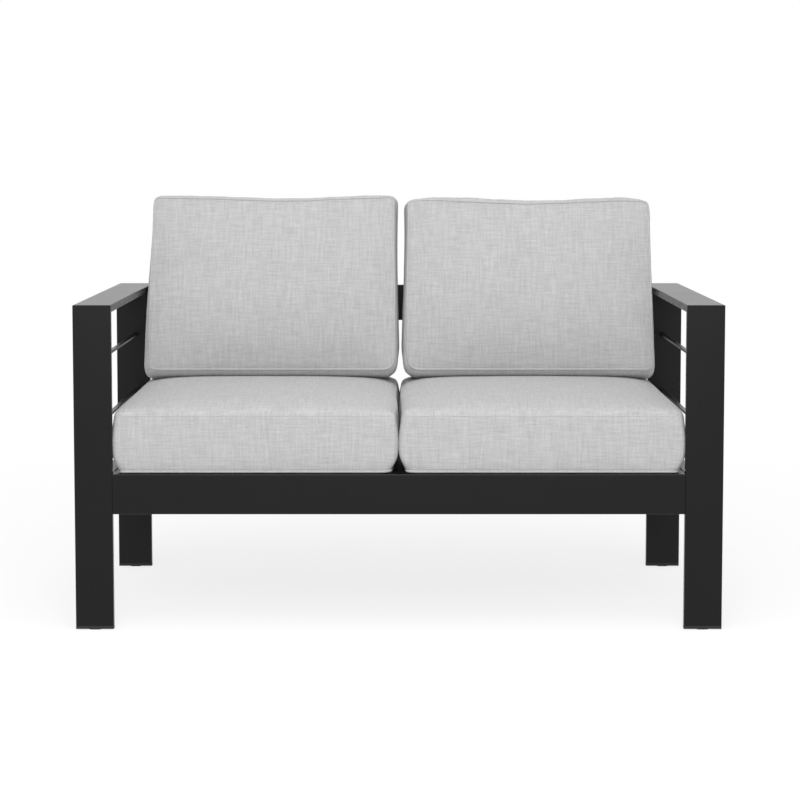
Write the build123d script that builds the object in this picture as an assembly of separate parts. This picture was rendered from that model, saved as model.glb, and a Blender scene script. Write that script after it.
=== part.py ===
from build123d import *
import os
from dataclasses import dataclass, replace
from math import cos, radians, sin

# Patio loveseat: a frame of flat aluminium tube with two seat cushions and two back cushions.
# Millimetres, +Z up. The origin is on the floor, midway between the arms and between the ends of an arm.
# The front faces -Y, and left and right are those of a viewer who stands in front.

# The whole loveseat
OVERALL_WIDTH = 1280.0
OVERALL_DEPTH = 710.0
ARM_HEIGHT = 645.0
DECK_HEIGHT = 311.0
ARM_TAIL = 47.0

# Flat tube of the legs, the arms and the back top rail
TUBE_WIDE = 75.0
TUBE_THIN = 15.0
TUBE_WALL = 1.6
TUBE_CORNER = 2.0
BACK_RAIL_HEIGHT = 80.0

# Seat frame
RAIL_HEIGHT = 80.0
RAIL_THICK = 40.0
RAIL_WALL = 2.0
RAIL_CORNER = 2.0
SIDE_RAIL_WIDE = 25.0
SLAT_COUNT = 9
SLAT_WIDE = 40.0
SLAT_THICK = 15.0
SLAT_WALL = 1.5
SLAT_CORNER = 1.5
BRACE_SIZE = 25.0
BRACE_WALL = 1.5
BRACE_CORNER = 1.5
BRACE_END_GAP = 1.0

# Flat bars under the arms
SIDE_SLAT_WIDE = 10.0
SIDE_SLAT_THICK = 5.0
SIDE_SLAT_CORNER = 0.8
SIDE_SLAT_INSET = 27.0
UPPER_SLAT_SHARE = 0.7022
LOWER_SLAT_SHARE = 0.3041

# Foot caps and arm end caps
PLUG_CLEARANCE = 0.15
PLUG_DEPTH = 14.0
PLUG_CHAMFER = 1.0
FOOT_FLANGE = 6.0
GLIDE_PAD_WIDE = 24.0
GLIDE_PAD_THIN = 11.0
GLIDE_PAD_HEIGHT = 1.5
ARM_CAP_FLANGE = 3.0

# Bolts, end plates and joining plates
BOLT_RADIUS = 3.0
BOLT_HEAD_RADIUS = 5.5
BOLT_HEAD_HEIGHT = 3.3
BOLT_HEAD_BEVEL = 1.2
BOLT_SOCKET_FLATS = 4.0
BOLT_SOCKET_DEPTH = 2.0
BOLT_TIP_REACH = 4.0
BOLT_HOLE_CLEARANCE = 0.3
THREAD_CLEARANCE = 0.05
SEAT_BOLT_SPACING = 50.0
END_PLATE_THICK = 6.0
END_PLATE_CLEARANCE = 0.1
JOIN_PLATE_WIDE = 120.0
JOIN_PLATE_HIGH = 44.0
JOIN_PLATE_THICK = 3.0
JOIN_PLATE_CORNER = 4.0
JOIN_BOLT_SPREAD = 60.0
JOIN_BOLT_SPACING = 24.0
RIVET_NUT_RADIUS = 4.5
RIVET_NUT_LENGTH = 9.0
RIVET_NUT_FLANGE_RADIUS = 6.5
RIVET_NUT_FLANGE = 0.8
RIVET_NUT_CLEARANCE = 0.1
CUT_OVERRUN = 5.0

# Seat cushions
SEAT_SIDE_GAP = 0.8
SEAT_CENTRE_GAP = 1.6
SEAT_FRONT_SETBACK = 3.0
SEAT_REAR_GAP = 3.0
SEAT_THICK = 113.0
SEAT_CROWN = 24.0
SEAT_CORNER = 14.0
SEAT_EDGE_RADIUS = 12.0
SEAT_SIDE_SWELL = 5.0
SOFT_GAP = 0.3

# Back cushions
BACK_SIDE_PLAY = 18.0
BACK_LONG = 403.0
BACK_THICK = 124.0
BACK_FRONT_CROWN = 17.0
BACK_REAR_CROWN = 8.0
BACK_CORNER = 12.0
BACK_EDGE_RADIUS = 14.0
BACK_SIDE_SWELL = 5.0
BACK_LEAN_DEGREES = 12.0
BACK_REST_GAP = 0.5
BACK_GAP_FROM_CENTRE = {"left": 4.5, "right": 13.5}

# Covers and cores of all cushions
COVER_THICK = 1.5
FOAM_EASE = 0.3
EDGE_CROWN_SHARE = 0.08
LENGTH_SHARES = (-1.0, -0.55, 0.0, 0.55, 1.0)
EDGE_DEGREES = (0, 30, 60, 90)
PLACING_PASSES = 8

# Places that follow from the sizes above
SIDES = {"left": -1, "right": 1}
HALF_WIDTH = OVERALL_WIDTH / 2
INNER_X = HALF_WIDTH - TUBE_WIDE
FRONT_Y = -OVERALL_DEPTH / 2
FRONT_LEG_BACK_Y = FRONT_Y + TUBE_THIN
ARM_END_Y = OVERALL_DEPTH / 2 - ARM_CAP_FLANGE
REAR_LEG_BACK_Y = ARM_END_Y - ARM_TAIL
REAR_LEG_Y = REAR_LEG_BACK_Y - TUBE_THIN
ARM_UNDERSIDE = ARM_HEIGHT - TUBE_THIN
LEG_BOTTOM = GLIDE_PAD_HEIGHT + FOOT_FLANGE
RAIL_BOTTOM = DECK_HEIGHT - RAIL_HEIGHT
RAIL_MIDDLE = DECK_HEIGHT - RAIL_HEIGHT / 2
FRONT_RAIL_BACK_Y = FRONT_Y + RAIL_THICK
REAR_RAIL_Y = REAR_LEG_BACK_Y - RAIL_THICK
SIDE_RAIL_OUTER_X = INNER_X + SIDE_RAIL_WIDE
BACK_RAIL_BOTTOM = ARM_HEIGHT - BACK_RAIL_HEIGHT
JOIN_PLATE_Z = (BACK_RAIL_BOTTOM + ARM_UNDERSIDE) / 2
JOIN_PLATE_Y = REAR_LEG_BACK_Y + RIVET_NUT_FLANGE
# Each seat bolt runs through the side rail into a rail end, so its axis is midway across what they share.
SEAT_BOLT_YS = {
    "front": (FRONT_LEG_BACK_Y + FRONT_RAIL_BACK_Y) / 2,
    "rear": (REAR_RAIL_Y + REAR_LEG_Y) / 2,
}

SECTION_PLANES = {"x": Plane.YZ, "y": Plane.XZ, "z": Plane.XY}


def span(side, inner, outer):
    """Lowest and highest X of what lies between two distances from the centre plane, on one side."""
    return sorted((SIDES[side] * inner, SIDES[side] * outer))


def tube_section(size, along, wall, corner):
    """Ring of a hollow tube that runs along one axis, or a full section where wall is zero."""
    wide, high = [size[i] for i in range(3) if "xyz"[i] != along]
    outline = RectangleRounded(wide, high, corner)
    if wall:
        outline -= Rectangle(wide - 2 * wall, high - 2 * wall)
    return outline


def bar(low, high, along, wall, corner):
    """Tube or bar that fills the box from low to high and runs along one axis."""
    size = [high[i] - low[i] for i in range(3)]
    middle = [(high[i] + low[i]) / 2 for i in range(3)]
    length = size["xyz".index(along)]
    section = SECTION_PLANES[along] * tube_section(size, along, wall, corner)
    return Pos(*middle) * extrude(section, amount=length / 2, both=True)


def rod(start, end, radius):
    """Round rod between two points that share two of their coordinates."""
    axis = Vector(*end) - Vector(*start)
    plane = Plane(origin=start, z_dir=axis)
    return extrude(plane * Circle(radius), amount=axis.length)


def mitre_cutter(below):
    """Prism that cuts the corner of a front leg and an arm at 45 degrees.

    below says which part is cut away: the arm loses what lies below the mitre, the leg what lies above.
    """
    front_top = (FRONT_Y - CUT_OVERRUN, ARM_HEIGHT + CUT_OVERRUN)
    inner_low = (FRONT_LEG_BACK_Y + CUT_OVERRUN, ARM_UNDERSIDE - CUT_OVERRUN)
    third = (front_top[0], inner_low[1]) if below else (inner_low[0], front_top[1])
    outline = Plane.YZ * make_face(Polyline(front_top, inner_low, third, close=True))
    return extrude(outline, amount=HALF_WIDTH + CUT_OVERRUN, both=True)


def front_leg(side):
    """Front leg, broad side to the front, mitred at the top."""
    x_low, x_high = span(side, INNER_X, HALF_WIDTH)
    low = (x_low, FRONT_Y, LEG_BOTTOM)
    high = (x_high, FRONT_LEG_BACK_Y, ARM_HEIGHT)
    return bar(low, high, "z", TUBE_WALL, TUBE_CORNER) - mitre_cutter(below=False)


def join_bolt_places(side):
    """X and Z of the bolts in one joining plate: an upper and a lower one in the rail and in the leg."""
    return [
        (SIDES[side] * (INNER_X + across * JOIN_BOLT_SPREAD / 2), JOIN_PLATE_Z + up * JOIN_BOLT_SPACING / 2)
        for across in (-1, 1)
        for up in (-1, 1)
    ]


def rivet_nut_holes(side):
    """Cutters for the rivet nuts in the back walls of one rear leg and of the rail beside it."""
    start_y = REAR_LEG_BACK_Y - TUBE_THIN / 2
    end_y = REAR_LEG_BACK_Y + CUT_OVERRUN
    radius = RIVET_NUT_RADIUS + RIVET_NUT_CLEARANCE
    return [rod((x, start_y, z), (x, end_y, z), radius) for x, z in join_bolt_places(side)]


def rear_leg(side):
    """Rear leg, closed at the top by the arm's underside, with holes for two rivet nuts."""
    x_low, x_high = span(side, INNER_X, HALF_WIDTH)
    low = (x_low, REAR_LEG_Y, LEG_BOTTOM)
    high = (x_high, REAR_LEG_BACK_Y, ARM_UNDERSIDE)
    return bar(low, high, "z", TUBE_WALL, TUBE_CORNER) - rivet_nut_holes(side)


def arm(side):
    """Arm: the same flat tube laid flat, mitred to the front leg, running on behind the rear leg."""
    x_low, x_high = span(side, INNER_X, HALF_WIDTH)
    low = (x_low, FRONT_Y, ARM_UNDERSIDE)
    high = (x_high, ARM_END_Y, ARM_HEIGHT)
    return bar(low, high, "y", TUBE_WALL, TUBE_CORNER) - mitre_cutter(below=True)


def side_slat(side, height_share):
    """Flat bar under an arm, from front leg to rear leg, at a share of the height from deck to arm."""
    top = DECK_HEIGHT + height_share * (ARM_UNDERSIDE - DECK_HEIGHT)
    x_low, x_high = span(side, INNER_X + SIDE_SLAT_INSET, INNER_X + SIDE_SLAT_INSET + SIDE_SLAT_WIDE)
    low = (x_low, FRONT_LEG_BACK_Y, top - SIDE_SLAT_THICK)
    high = (x_high, REAR_LEG_Y, top)
    return bar(low, high, "y", 0, SIDE_SLAT_CORNER)


def seat_bolt_places():
    """Y and Z of the bolts that join a side rail to the ends of the front and rear rails."""
    return [
        (y, RAIL_MIDDLE + up * SEAT_BOLT_SPACING / 2)
        for y in SEAT_BOLT_YS.values()
        for up in (-1, 1)
    ]


def side_rail(side):
    """Rail at seat level between a front leg and a rear leg, drilled for the seat frame's bolts."""
    x_low, x_high = span(side, INNER_X, SIDE_RAIL_OUTER_X)
    low = (x_low, FRONT_LEG_BACK_Y, RAIL_BOTTOM)
    high = (x_high, REAR_LEG_Y, DECK_HEIGHT)
    radius = BOLT_RADIUS + BOLT_HOLE_CLEARANCE
    holes = [
        rod((x_low - CUT_OVERRUN, y, z), (x_high + CUT_OVERRUN, y, z), radius)
        for y, z in seat_bolt_places()
    ]
    return bar(low, high, "y", RAIL_WALL, RAIL_CORNER) - holes


def cross_rail(y_low):
    """Front or rear rail of the seat frame, between the legs."""
    low = (-INNER_X, y_low, RAIL_BOTTOM)
    high = (INNER_X, y_low + RAIL_THICK, DECK_HEIGHT)
    return bar(low, high, "x", RAIL_WALL, RAIL_CORNER)


def end_plate(side, y_low):
    """Plate in the end of a cross rail, tapped for two bolts."""
    x_low, x_high = span(side, INNER_X - END_PLATE_THICK, INNER_X)
    inset = RAIL_WALL + END_PLATE_CLEARANCE
    y_high = y_low + RAIL_THICK
    size = (END_PLATE_THICK, y_high - y_low - 2 * inset, RAIL_HEIGHT - 2 * inset)
    plate = Pos((x_low + x_high) / 2, (y_low + y_high) / 2, RAIL_MIDDLE) * Box(*size)
    radius = BOLT_RADIUS + THREAD_CLEARANCE
    holes = [
        rod((x_low - CUT_OVERRUN, y, z), (x_high + CUT_OVERRUN, y, z), radius)
        for y, z in seat_bolt_places()
        if y_low < y < y_high
    ]
    return plate - holes


def back_top_rail():
    """Rail that the back cushions lean on, level with the arms."""
    low = (-INNER_X, REAR_LEG_Y, BACK_RAIL_BOTTOM)
    high = (INNER_X, REAR_LEG_BACK_Y, ARM_HEIGHT)
    rail = bar(low, high, "x", TUBE_WALL, TUBE_CORNER)
    return rail - [hole for side in SIDES for hole in rivet_nut_holes(side)]


def seat_slat(index):
    """One of the slats that carry the seat cushions, all with the same gap between them."""
    gap = (2 * INNER_X - SLAT_COUNT * SLAT_WIDE) / (SLAT_COUNT + 1)
    x_low = -INNER_X + gap + index * (gap + SLAT_WIDE)
    low = (x_low, FRONT_RAIL_BACK_Y, DECK_HEIGHT - SLAT_THICK)
    high = (x_low + SLAT_WIDE, REAR_RAIL_Y, DECK_HEIGHT)
    return bar(low, high, "y", SLAT_WALL, SLAT_CORNER)


def seat_brace():
    """Square tube across the undersides of the seat slats, midway along them."""
    middle_y = (FRONT_RAIL_BACK_Y + REAR_RAIL_Y) / 2
    top = DECK_HEIGHT - SLAT_THICK
    low = (-INNER_X + BRACE_END_GAP, middle_y - BRACE_SIZE / 2, top - BRACE_SIZE)
    high = (INNER_X - BRACE_END_GAP, middle_y + BRACE_SIZE / 2, top)
    return bar(low, high, "x", BRACE_WALL, BRACE_CORNER)


def plug(flange, pad):
    """Cap for the flat tube, made with its spigot upwards: flange, chamfered spigot and, where asked, a pad."""
    inset = TUBE_WALL + PLUG_CLEARANCE
    cap = extrude(RectangleRounded(TUBE_WIDE, TUBE_THIN, TUBE_CORNER), amount=flange)
    spigot = extrude(Rectangle(TUBE_WIDE - 2 * inset, TUBE_THIN - 2 * inset), amount=PLUG_DEPTH)
    spigot = chamfer(spigot.faces().sort_by(Axis.Z)[-1].edges(), PLUG_CHAMFER)
    cap += Pos(0, 0, flange) * spigot
    if pad:
        cap += extrude(SlotOverall(GLIDE_PAD_WIDE, GLIDE_PAD_THIN), amount=-GLIDE_PAD_HEIGHT)
    return cap


def foot_cap(side, y_low):
    """Cap with a glide pad in the bottom of a leg."""
    middle_x = SIDES[side] * (INNER_X + TUBE_WIDE / 2)
    return Pos(middle_x, y_low + TUBE_THIN / 2, GLIDE_PAD_HEIGHT) * plug(FOOT_FLANGE, pad=True)


def arm_cap(side):
    """Cap in the rear end of an arm."""
    place = Pos(SIDES[side] * (INNER_X + TUBE_WIDE / 2), ARM_END_Y + ARM_CAP_FLANGE, ARM_HEIGHT - TUBE_THIN / 2)
    return place * Rot(90, 0, 0) * plug(ARM_CAP_FLANGE, pad=False)


def bolt(length):
    """Bolt with a bevelled head and a hexagon socket: the head above the XY plane, the shank below it."""
    head = extrude(Circle(BOLT_HEAD_RADIUS), amount=BOLT_HEAD_HEIGHT)
    head = chamfer(head.faces().sort_by(Axis.Z)[-1].edges(), BOLT_HEAD_BEVEL)
    socket = RegularPolygon(BOLT_SOCKET_FLATS / 2, 6, major_radius=False)
    head -= Pos(0, 0, BOLT_HEAD_HEIGHT) * extrude(socket, amount=-BOLT_SOCKET_DEPTH)
    return head + extrude(Circle(BOLT_RADIUS), amount=-length)


def seat_frame_bolts():
    """Bolts through both side rails into the end plates."""
    screw = bolt(SIDE_RAIL_WIDE + END_PLATE_THICK + BOLT_TIP_REACH)
    return Compound([
        Pos(sign * SIDE_RAIL_OUTER_X, y, z) * Rot(0, sign * 90, 0) * screw
        for sign in SIDES.values()
        for y, z in seat_bolt_places()
    ])


def joining_plate(side):
    """Plate across the joint of a rear leg and the back top rail, behind them."""
    outline = RectangleRounded(JOIN_PLATE_WIDE, JOIN_PLATE_HIGH, JOIN_PLATE_CORNER)
    plate = extrude(Plane.XZ * outline, amount=-JOIN_PLATE_THICK)
    plate = Pos(SIDES[side] * INNER_X, JOIN_PLATE_Y, JOIN_PLATE_Z) * plate
    radius = BOLT_RADIUS + BOLT_HOLE_CLEARANCE
    start_y = JOIN_PLATE_Y - CUT_OVERRUN
    end_y = JOIN_PLATE_Y + JOIN_PLATE_THICK + CUT_OVERRUN
    return plate - [rod((x, start_y, z), (x, end_y, z), radius) for x, z in join_bolt_places(side)]


def back_rail_bolts():
    """Bolts through both joining plates into the rivet nuts."""
    screw = bolt(JOIN_PLATE_THICK + RIVET_NUT_FLANGE + RIVET_NUT_LENGTH)
    return Compound([
        Pos(x, JOIN_PLATE_Y + JOIN_PLATE_THICK, z) * Rot(-90, 0, 0) * screw
        for side in SIDES
        for x, z in join_bolt_places(side)
    ])


def rivet_nuts():
    """Rivet nuts in the back walls of the rear legs and of the back top rail."""
    nut = extrude(Circle(RIVET_NUT_FLANGE_RADIUS), amount=RIVET_NUT_FLANGE)
    nut += extrude(Circle(RIVET_NUT_RADIUS), amount=-RIVET_NUT_LENGTH)
    bore = extrude(Circle(BOLT_RADIUS + THREAD_CLEARANCE), amount=RIVET_NUT_LENGTH + CUT_OVERRUN, both=True)
    nut -= bore
    return Compound([
        Pos(x, REAR_LEG_BACK_Y, z) * Rot(-90, 0, 0) * nut
        for side in SIDES
        for x, z in join_bolt_places(side)
    ])


@dataclass(frozen=True)
class CushionForm:
    """Sizes of a boxed cushion, which lies on its back seams with its length along Y."""

    width: float
    length: float
    thick: float
    corner: float
    edge_radius: float
    side_swell: float
    top_crown: float
    bottom_crown: float


SEAT_FORM = CushionForm(
    width=INNER_X - SEAT_SIDE_GAP - SEAT_CENTRE_GAP / 2,
    length=REAR_LEG_Y - FRONT_Y - SEAT_FRONT_SETBACK - SEAT_REAR_GAP,
    thick=SEAT_THICK,
    corner=SEAT_CORNER,
    edge_radius=SEAT_EDGE_RADIUS,
    side_swell=SEAT_SIDE_SWELL,
    top_crown=SEAT_CROWN,
    bottom_crown=0,
)
BACK_FORM = CushionForm(
    width=INNER_X - BACK_SIDE_PLAY,
    length=BACK_LONG,
    thick=BACK_THICK,
    corner=BACK_CORNER,
    edge_radius=BACK_EDGE_RADIUS,
    side_swell=BACK_SIDE_SWELL,
    top_crown=BACK_FRONT_CROWN,
    bottom_crown=BACK_REAR_CROWN,
)


def crown_at(form, crown, y):
    """Height of a face's crown over its seams, on the cushion's middle line, at one place along it."""
    along = 2 * y / form.length
    return crown * (1 - along * along * (1 - EDGE_CROWN_SHARE))


def bowed_edge(start, end, bow):
    """Arc between two points of a section that bows out by a vector, or a line where the bow is zero."""
    start, end = Vector(*start), Vector(*end)
    if bow.length == 0:
        return Line(start, end)
    return ThreePointArc(start, (start + end) / 2 + bow, end)


def cushion_section(form, y, inset):
    """Outline of a cushion at one place along it: crowned faces, swelling sides and round corners."""
    seam_x = form.width / 2 - form.side_swell - inset
    face_x = seam_x - form.corner
    low, high = inset, form.thick - inset
    low_side, high_side = low + form.corner, high - form.corner
    corner_bow = form.corner * (1 - cos(radians(45))) / cos(radians(45))
    down = Vector(0, 0, -crown_at(form, form.bottom_crown, y))
    up = Vector(0, 0, crown_at(form, form.top_crown, y))
    edges = [
        bowed_edge((-face_x, y, low), (face_x, y, low), down),
        bowed_edge((face_x, y, high), (-face_x, y, high), up),
    ]
    for sign in SIDES.values():
        out = Vector(sign, 0, 0)
        lower_bow = Vector(sign, 0, -1) * corner_bow / 2
        upper_bow = Vector(sign, 0, 1) * corner_bow / 2
        face, seam = sign * face_x, sign * seam_x
        edges += [
            bowed_edge((face, y, low), (seam, y, low_side), lower_bow),
            bowed_edge((seam, y, low_side), (seam, y, high_side), out * form.side_swell),
            bowed_edge((seam, y, high_side), (face, y, high), upper_bow),
        ]
    return make_face(Wire(edges))


def cushion(form):
    """Boxed cushion: a crowned middle and two rounded ends, joined to one solid."""
    straight = form.length / 2 - form.edge_radius
    solid = loft([cushion_section(form, share * straight, 0) for share in LENGTH_SHARES])
    for end in (-1, 1):
        rounds = []
        for degrees in EDGE_DEGREES:
            reach = straight + form.edge_radius * sin(radians(degrees))
            inset = form.edge_radius * (1 - cos(radians(degrees)))
            rounds.append(cushion_section(form, end * reach, inset))
        solid += loft(rounds)
    return solid


def shrunk(form, by):
    """The same cushion, smaller by one distance all round, still lying on the larger one's seam plane."""
    inner = replace(form, width=form.width - 2 * by, length=form.length - 2 * by, thick=form.thick - 2 * by)
    return Pos(0, 0, by) * cushion(inner)


def cover(form):
    """Fabric cover: the cushion's outer shape with room for the foam core."""
    return cushion(form) - shrunk(form, COVER_THICK)


def core(form):
    """Foam core that fills its cover but for a little ease."""
    return shrunk(form, COVER_THICK + FOAM_EASE)


def seat_place(side):
    """Where a seat cushion lies on the slats."""
    middle_x = SIDES[side] * (SEAT_CENTRE_GAP + SEAT_FORM.width) / 2
    middle_y = FRONT_Y + SEAT_FRONT_SETBACK + SEAT_FORM.length / 2
    return Pos(middle_x, middle_y, DECK_HEIGHT + SOFT_GAP)


def back_rest_point():
    """Y and Z of a back cushion's middle, leaning on the back top rail and standing on the seat cushion.

    The lower rear edge stands on the seat's crown, and the rear crown meets the rail's upper front edge.
    The two places depend on each other, so they are found in a few passes.
    """
    lean_cos, lean_sin = cos(radians(BACK_LEAN_DEGREES)), sin(radians(BACK_LEAN_DEGREES))
    radius = BACK_FORM.edge_radius
    edge_along = radius - BACK_FORM.length / 2
    seat_middle_y = seat_place("left").position.Y
    seam_height = DECK_HEIGHT + SOFT_GAP + SEAT_THICK
    middle_y, middle_z = REAR_LEG_Y, seam_height + BACK_FORM.length / 2
    for _ in range(PLACING_PASSES):
        foot_y = middle_y + edge_along * lean_sin - radius * lean_cos
        seat_top = seam_height + crown_at(SEAT_FORM, SEAT_CROWN, foot_y - seat_middle_y)
        middle_z = seat_top + BACK_REST_GAP - edge_along * lean_cos - radius * lean_sin + radius
        along = (ARM_HEIGHT - TUBE_CORNER - middle_z) / lean_cos
        bulge = crown_at(BACK_FORM, BACK_REAR_CROWN, along)
        middle_y = REAR_LEG_Y - SOFT_GAP - along * lean_sin - bulge / lean_cos
    return middle_y, middle_z


def back_place(side):
    """Where a back cushion leans, in front of the back top rail."""
    middle_x = SIDES[side] * (BACK_GAP_FROM_CENTRE[side] + BACK_FORM.width / 2)
    return Pos(middle_x, *back_rest_point()) * Rot(90 - BACK_LEAN_DEGREES, 0, 0)


def side_parts(side):
    """Every piece that has a twin on the other side, by its name without the side."""
    return {
        "front_leg": front_leg(side),
        "rear_leg": rear_leg(side),
        "arm": arm(side),
        "upper_side_slat": side_slat(side, UPPER_SLAT_SHARE),
        "lower_side_slat": side_slat(side, LOWER_SLAT_SHARE),
        "side_rail": side_rail(side),
        "front_end_plate": end_plate(side, FRONT_Y),
        "rear_end_plate": end_plate(side, REAR_RAIL_Y),
        "joining_plate": joining_plate(side),
        "front_foot_cap": foot_cap(side, FRONT_Y),
        "rear_foot_cap": foot_cap(side, REAR_LEG_Y),
        "arm_end_cap": arm_cap(side),
        "seat_cushion_cover": seat_place(side) * cover(SEAT_FORM),
        "seat_cushion_foam": seat_place(side) * core(SEAT_FORM),
        "back_cushion_cover": back_place(side) * cover(BACK_FORM),
        "back_cushion_foam": back_place(side) * core(BACK_FORM),
    }


def shared_parts():
    """Every piece that lies across the middle, by its full name."""
    parts = {
        "front_rail": cross_rail(FRONT_Y),
        "rear_rail": cross_rail(REAR_RAIL_Y),
        "back_top_rail": back_top_rail(),
        "seat_brace": seat_brace(),
        "seat_frame_bolts": seat_frame_bolts(),
        "back_rail_bolts": back_rail_bolts(),
        "rivet_nuts": rivet_nuts(),
    }
    for index in range(SLAT_COUNT):
        parts[f"seat_slat_{index + 1}"] = seat_slat(index)
    return parts


def main():
    """Build every piece and write one STEP file for each."""
    os.makedirs("parts", exist_ok=True)
    parts = shared_parts()
    for side in SIDES:
        parts.update({f"{name}_{side}": solid for name, solid in side_parts(side).items()})
    for name, solid in parts.items():
        export_step(solid, f"parts/{name}.step")


main()
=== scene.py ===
"""Looks of a patio loveseat: a powder-coated frame of flat tube with four loose linen cushions."""

import logging
import math
from dataclasses import dataclass, field
from enum import Enum
from typing import Callable, Iterable

import bmesh
import bpy
from mathutils import Matrix, Vector, noise
from mathutils.bvhtree import BVHTree
from mathutils.kdtree import KDTree


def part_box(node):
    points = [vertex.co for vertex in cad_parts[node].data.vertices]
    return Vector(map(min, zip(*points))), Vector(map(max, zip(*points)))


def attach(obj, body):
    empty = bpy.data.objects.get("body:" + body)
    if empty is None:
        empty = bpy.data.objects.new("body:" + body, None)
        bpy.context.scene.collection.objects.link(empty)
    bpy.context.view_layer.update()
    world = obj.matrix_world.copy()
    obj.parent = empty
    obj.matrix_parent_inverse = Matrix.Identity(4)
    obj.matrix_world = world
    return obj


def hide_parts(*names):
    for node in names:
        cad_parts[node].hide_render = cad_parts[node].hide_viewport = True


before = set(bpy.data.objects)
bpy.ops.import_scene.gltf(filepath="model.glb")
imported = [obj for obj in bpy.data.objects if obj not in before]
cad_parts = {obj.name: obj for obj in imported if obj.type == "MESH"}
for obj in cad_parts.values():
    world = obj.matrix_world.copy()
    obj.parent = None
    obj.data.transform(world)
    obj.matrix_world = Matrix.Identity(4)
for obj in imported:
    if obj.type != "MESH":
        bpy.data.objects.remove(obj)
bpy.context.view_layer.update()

LOG = logging.getLogger("loveseat")
CLOTH_MAP = "cloth"
HELD_SEAMS = "held seams"
SIMULATED_FRAMES = 20

Place = tuple[float, float, float]
Colour = tuple[float, float, float]


class Side(Enum):
    """The two sides of the loveseat, as a viewer in front sees them."""

    LEFT = "left"
    RIGHT = "right"

    @property
    def sign(self) -> int:
        """Sign of X on this side."""
        return -1 if self is Side.LEFT else 1

    def pick(self, left: object, right: object) -> object:
        """The one of two values that belongs to this side."""
        return left if self is Side.LEFT else right


class Slot(Enum):
    """Names of the material slots in the record."""

    FRAME_COAT = "frame_coat"
    COVER_FABRIC = "cover_fabric"
    FOAM = "foam"


def new_object(name: str, mesh: bpy.types.Mesh) -> bpy.types.Object:
    """Put a mesh into the scene.

    Args:
        name: Name of the new object.
        mesh: Its mesh, already in place.

    Returns:
        The new object.
    """
    made = bpy.data.objects.new(name, mesh)
    bpy.context.scene.collection.objects.link(made)
    return made


def object_from(name: str, shape: bmesh.types.BMesh, smooth: bool = True) -> bpy.types.Object:
    """Turn a bmesh into an object and free it.

    Args:
        name: Name of the new object.
        shape: The finished bmesh.
        smooth: Whether its faces are shaded smooth.

    Returns:
        The new object.
    """
    bmesh.ops.recalc_face_normals(shape, faces=shape.faces)
    mesh = bpy.data.meshes.new(name)
    shape.to_mesh(mesh)
    shape.free()
    mesh.polygons.foreach_set("use_smooth", [smooth] * len(mesh.polygons))
    return new_object(name, mesh)


def apply_modifiers(piece: bpy.types.Object) -> None:
    """Make a piece's modifiers part of its mesh."""
    seen = piece.evaluated_get(bpy.context.evaluated_depsgraph_get())
    mesh = bpy.data.meshes.new_from_object(seen)
    old = piece.data
    piece.modifiers.clear()
    piece.data = mesh
    bpy.data.meshes.remove(old)
    mesh.name = piece.name


def smoothstep(value: float, low: float, high: float) -> float:
    """Rise from 0 to 1 between two values, with no kink."""
    share = min(max((value - low) / (high - low), 0.0), 1.0)
    return share * share * (3 - 2 * share)


def blend_along(heights: tuple[float, ...], share: float) -> float:
    """Read a smooth line through evenly spaced heights.

    Args:
        heights: Heights at equal steps from one end to the other.
        share: Place along the line, from 0 to 1.

    Returns:
        The height there.
    """
    steps = len(heights) - 1
    place = min(max(share, 0.0), 1.0) * steps
    index = min(int(place), steps - 1)
    rise = smoothstep(place - index, 0.0, 1.0)
    return heights[index] * (1 - rise) + heights[index + 1] * rise


def box_shape(low: Iterable[float], high: Iterable[float]) -> bmesh.types.BMesh:
    """Make a box between two corners.

    Args:
        low: Lowest corner.
        high: Highest corner.

    Returns:
        A bmesh with six faces.
    """
    low, high = Vector(low), Vector(high)
    shape = bmesh.new()
    place = Matrix.Translation((low + high) / 2) @ Matrix.Diagonal((*(high - low), 1.0))
    bmesh.ops.create_cube(shape, size=1.0, matrix=place)
    return shape


def bevel_edges(shape: bmesh.types.BMesh, width: float, segments: int) -> None:
    """Round every edge of a shape."""
    bmesh.ops.bevel(
        shape,
        geom=shape.edges[:],
        offset=width,
        offset_type="OFFSET",
        segments=segments,
        profile=0.5,
        material=-1,
        affect="EDGES",
    )


def edges_between(verts: list[bmesh.types.BMVert]) -> set[bmesh.types.BMEdge]:
    """Edges that have both ends in a list of vertices."""
    return {edge for vert in verts for edge in vert.link_edges if edge.other_vert(vert) in verts}


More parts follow.
